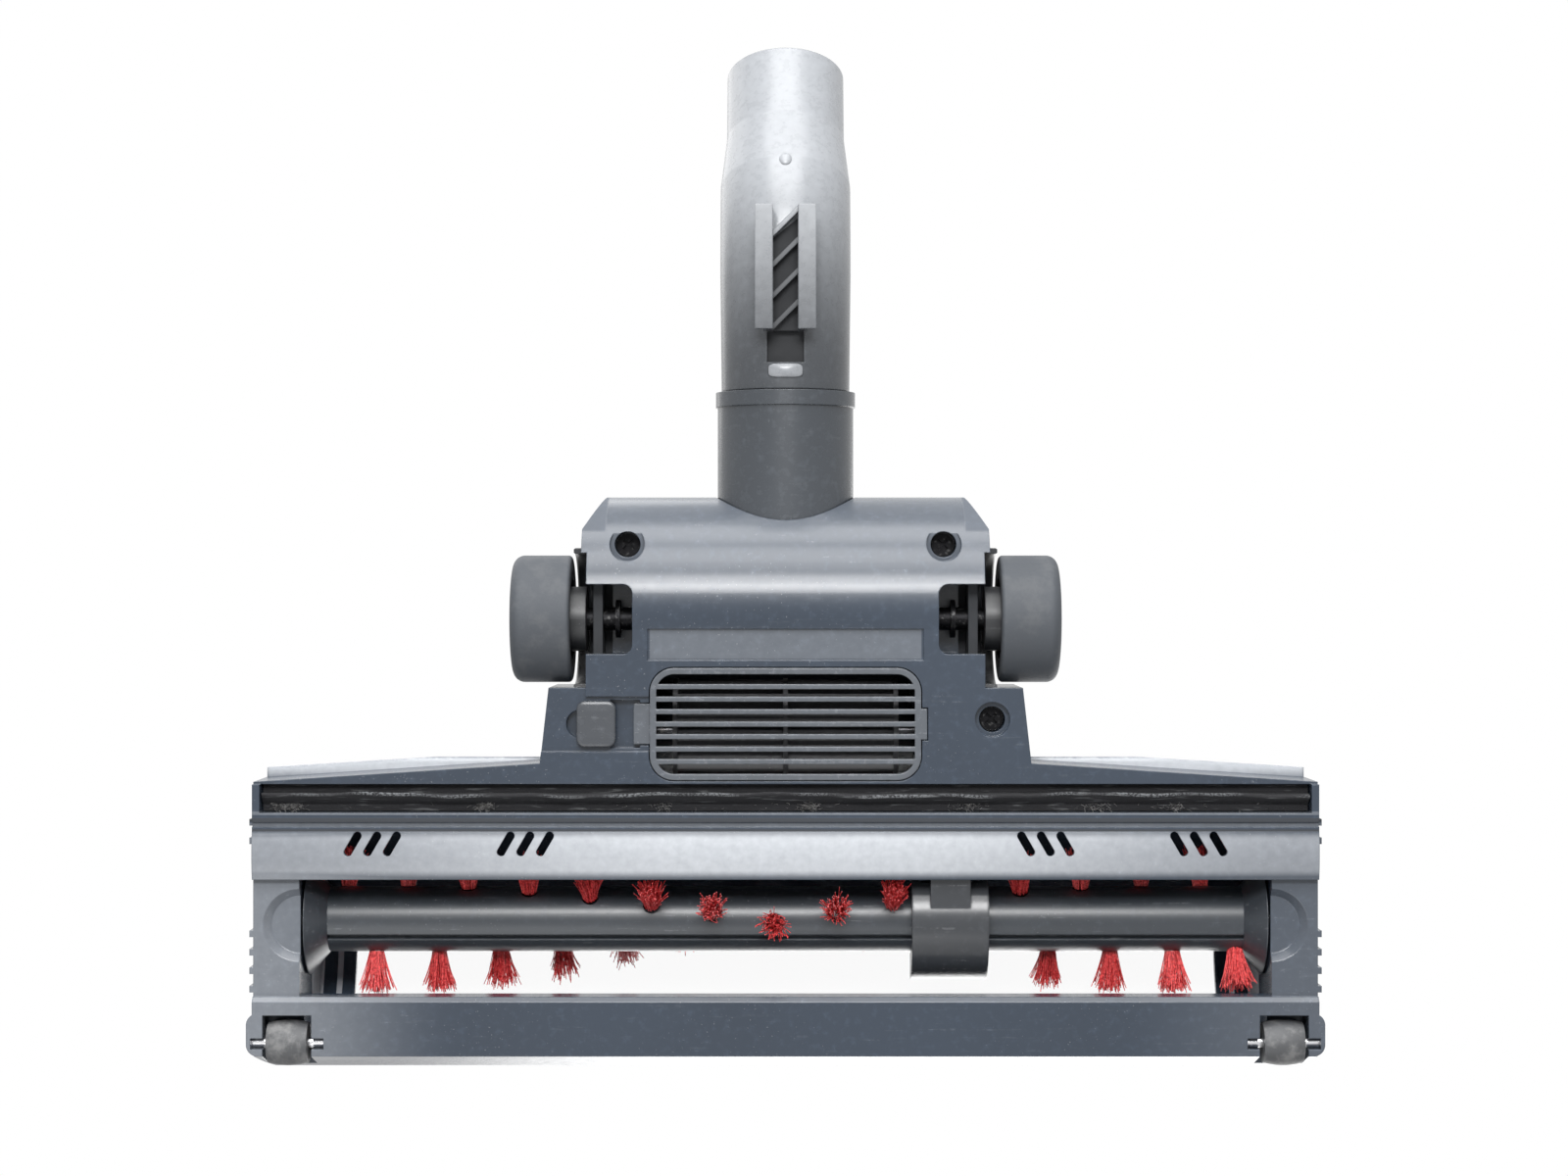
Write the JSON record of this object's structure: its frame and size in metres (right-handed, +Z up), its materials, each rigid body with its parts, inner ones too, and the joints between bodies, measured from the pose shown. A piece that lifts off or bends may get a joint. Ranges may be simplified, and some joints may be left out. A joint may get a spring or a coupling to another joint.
{
  "type": "turbine floor brush head",
  "caption": "Air-driven vacuum floor head on wheels: bristled roller in an open mouth, slatted turbine hatch, belt guard, clear top window and a tilting, swivelling bent neck.",
  "frame": {"origin": "on the floor under the middle of the head's bounding box", "axes": "+Z up, +Y from the front bar to the neck, +X to the side of the hatch latch"},
  "size_m": [0.28, 0.2728, 0.0691],
  "materials": {
    "housing_plastic": "satin moulded, scuffed",
    "cover_plastic": "satin moulded",
    "clear_plastic": "clear",
    "guard_plastic": "gloss",
    "roller_plastic": "satin",
    "neck_plastic": "satin moulded",
    "turbine_plastic": "moulded",
    "bristle": "nylon fibre",
    "lint_fabric": "napped",
    "rubber_black": "matte",
    "steel": "bright"
  },
  "bodies": {
    "housing": {"lower_housing": "housing_plastic", "top_cover": "cover_plastic", "viewing_window": "clear_plastic", "lint_strip": "lint_fabric", "belt_guard": "guard_plastic", "drive_belt": "rubber_black", "housing_screws": "steel", "turbine_bearings": "turbine_plastic", "roller_bearings": "turbine_plastic", "castor_pins": "steel", "wheel_axles": "steel"},
    "roller": {"roller_core": "roller_plastic", "roller_flange_left": "roller_plastic", "roller_flange_right": "roller_plastic", "roller_shaft": "steel", "roller_pulley": "turbine_plastic", "bristle_tufts": "bristle"},
    "turbine": {"turbine_wheel": "turbine_plastic", "turbine_shaft": "steel", "turbine_pulley": "turbine_plastic"},
    "wheel_left": {"wheel_hub_left": "guard_plastic", "wheel_tyre_left": "rubber_black"},
    "wheel_right": {"wheel_hub_right": "guard_plastic", "wheel_tyre_right": "rubber_black"},
    "castor_left_body": {"castor_left": "rubber_black"},
    "castor_right_body": {"castor_right": "rubber_black"},
    "knuckle_body": {"knuckle": "neck_plastic"},
    "neck": {"neck_pipe": "neck_plastic", "neck_ring": "turbine_plastic"},
    "hatch": {"hatch_grille": "housing_plastic"},
    "latch": {"hatch_latch": "housing_plastic"}
  },
  "joints": [
    {"name": "neck_tilt", "type": "hinge", "parent": "housing", "child": "knuckle_body", "pos_m": [0, -0.01643, 0.035], "axis": [1, 0, 0], "range_deg": [0, 60]},
    {"name": "neck_swivel", "type": "hinge", "parent": "knuckle_body", "child": "neck", "pos_m": [0, 0.03, 0.035], "axis": [0, 1, 0], "range_deg": [-90, 90]},
    {"name": "wheel_left_spin", "type": "hinge", "parent": "housing", "child": "wheel_left", "pos_m": [0.064, -0.01863, 0.0167], "axis": [1, 0, 0], "continuous": true},
    {"name": "wheel_right_spin", "type": "hinge", "parent": "housing", "child": "wheel_right", "pos_m": [-0.064, -0.01863, 0.0167], "axis": [1, 0, 0], "continuous": true},
    {"name": "castor_left_spin", "type": "hinge", "parent": "housing", "child": "castor_left_body", "pos_m": [0.1294, -0.12883, 0.00595], "axis": [1, 0, 0], "continuous": true},
    {"name": "castor_right_spin", "type": "hinge", "parent": "housing", "child": "castor_right_body", "pos_m": [-0.1294, -0.12883, 0.00595], "axis": [1, 0, 0], "continuous": true},
    {"name": "roller_spin", "type": "hinge", "parent": "housing", "child": "roller", "pos_m": [0, -0.09823, 0.0205], "axis": [1, 0, 0], "continuous": true},
    {"name": "turbine_spin", "type": "hinge", "parent": "housing", "child": "turbine", "pos_m": [0, -0.04853, 0.0228], "axis": [1, 0, 0], "continuous": true},
    {"name": "hatch_hinge", "type": "hinge", "parent": "housing", "child": "hatch", "pos_m": [-0.03545, -0.04593, 0.005], "axis": [0, 1, 0], "range_deg": [0, 75]},
    {"name": "latch_slide", "type": "slide", "parent": "housing", "child": "latch", "axis": [-1, 0, 0], "range_m": [0, 0.006]}
  ],
  "couplings": [
    {"joint": "turbine_spin", "follows": "roller_spin", "ratio": 1.5}
  ]
}
